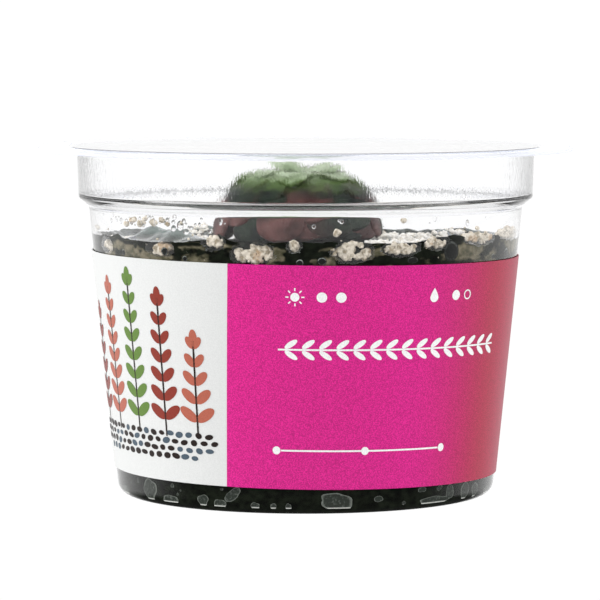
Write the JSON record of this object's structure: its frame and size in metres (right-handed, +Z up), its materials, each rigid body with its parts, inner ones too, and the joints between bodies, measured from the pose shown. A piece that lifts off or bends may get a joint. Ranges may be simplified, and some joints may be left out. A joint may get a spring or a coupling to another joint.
{
  "type": "butterwort in a sealed culture cup",
  "caption": "Butterwort rosette in black culture gel with white perlite, in a clear stepped sealing cup with a wrap-round label and a clear film lid.",
  "frame": {"origin": "centre of the cup's foot, on the surface that it stands on", "axes": "+Z up along the cup's axis; -Y is the front, where the label's white panel meets its coloured print on the left"},
  "size_m": [0.095, 0.095, 0.0622],
  "materials": {
    "cup_plastic": "clear thermoformed plastic, glossy",
    "label_print": "printed film, satin: magenta with a white panel",
    "lid_film": "clear sealing film, glossy",
    "culture_gel": "wet charcoal gel, dark olive where light comes through",
    "perlite": "rough porous white crumbs",
    "leaf": "thick leaves, maroon outside and green in the heart, with fine sticky glands"
  },
  "bodies": {
    "root": {"cup": "cup_plastic", "label": "label_print", "film_lid": "lid_film", "gel": "culture_gel", "perlite_clump_01": "perlite", "perlite_clump_02": "perlite", "perlite_clump_03": "perlite", "perlite_clump_04": "perlite", "perlite_clump_05": "perlite", "perlite_clump_06": "perlite", "perlite_clump_07": "perlite", "perlite_clump_08": "perlite", "perlite_clump_09": "perlite", "perlite_clump_10": "perlite", "perlite_clump_11": "perlite", "perlite_clump_12": "perlite", "perlite_clump_13": "perlite", "perlite_clump_14": "perlite", "perlite_clump_15": "perlite", "perlite_clump_16": "perlite", "rosette": "leaf"}
  },
  "joints": []
}
